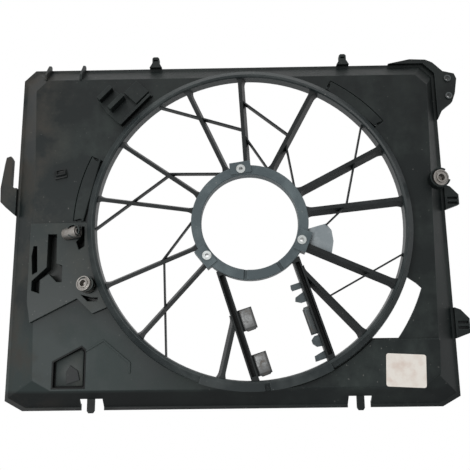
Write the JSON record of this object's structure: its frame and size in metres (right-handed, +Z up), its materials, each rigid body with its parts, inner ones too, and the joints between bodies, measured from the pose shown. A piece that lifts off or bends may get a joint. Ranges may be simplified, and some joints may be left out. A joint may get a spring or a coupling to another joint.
{
  "type": "radiator fan shroud",
  "caption": "Black moulded radiator fan shroud: dished rectangular panel, round fan ring, strutted motor ring, ram-air flaps, clips, hooks and ears. Fan and motor not fitted.",
  "frame": {"origin": "where the fan axis meets the radiator face, the plane of the back flange", "axes": "+Z up as fitted in the car, +Y towards the radiator along the fan axis, +X to the right seen from the engine"},
  "size_m": [0.652, 0.05, 0.502],
  "materials": {
    "moulded_nylon": "satin, scuffed and dusty",
    "flap_plastic": "satin",
    "spring_steel": "dull, dusty",
    "zinc_steel": "dull zinc",
    "label_film": "matt film, faded"
  },
  "bodies": {
    "shroud": {"shroud_panel": "moulded_nylon", "fan_ring": "moulded_nylon", "motor_ring": "moulded_nylon", "module_rail_left": "moulded_nylon", "module_rail_right": "moulded_nylon", "main_struts": "moulded_nylon", "motor_boss_gusset": "moulded_nylon", "bracing_struts": "moulded_nylon", "motor_inserts": "zinc_steel", "flap_pin_left": "zinc_steel", "flap_pin_upper_right": "zinc_steel", "flap_hinge_ears": "moulded_nylon", "rail_tabs_left": "moulded_nylon", "rail_spring_clip_upper": "spring_steel", "rail_spring_clip_lower": "spring_steel", "hose_clip_upper": "moulded_nylon", "hose_clip_lower": "moulded_nylon", "line_clip_right": "moulded_nylon", "clip_liners": "spring_steel", "side_hook_left": "moulded_nylon", "mounting_ears_right": "moulded_nylon", "tank_bracket": "moulded_nylon", "tank_bushes": "zinc_steel", "top_catches": "moulded_nylon", "lower_tongues": "moulded_nylon", "corner_tray": "moulded_nylon", "service_deck": "moulded_nylon", "rail_hooks_right": "moulded_nylon", "rail_contact_spring": "spring_steel", "pocket_clip": "moulded_nylon", "connector_holder": "moulded_nylon", "label": "label_film", "corner_hooks": "moulded_nylon"},
    "left_flap": {"ram_flap_left": "flap_plastic"},
    "upper_right_flap": {"ram_flap_upper_right": "flap_plastic"}
  },
  "joints": [
    {"name": "left_flap_hinge", "type": "hinge", "parent": "shroud", "child": "left_flap", "pos_m": [-0.21684, -0.023, 0.05206], "axis": [0.2334, 0, 0.9724], "range_deg": [0, 60], "stiffness_Nm_per_rad": 0.002, "springref_deg": -20.05},
    {"name": "upper_right_flap_hinge", "type": "hinge", "parent": "shroud", "child": "upper_right_flap", "pos_m": [0.1463, -0.023, 0.1683], "axis": [0.7547, 0, -0.6561], "range_deg": [0, 60], "stiffness_Nm_per_rad": 0.002, "springref_deg": -20.05}
  ]
}
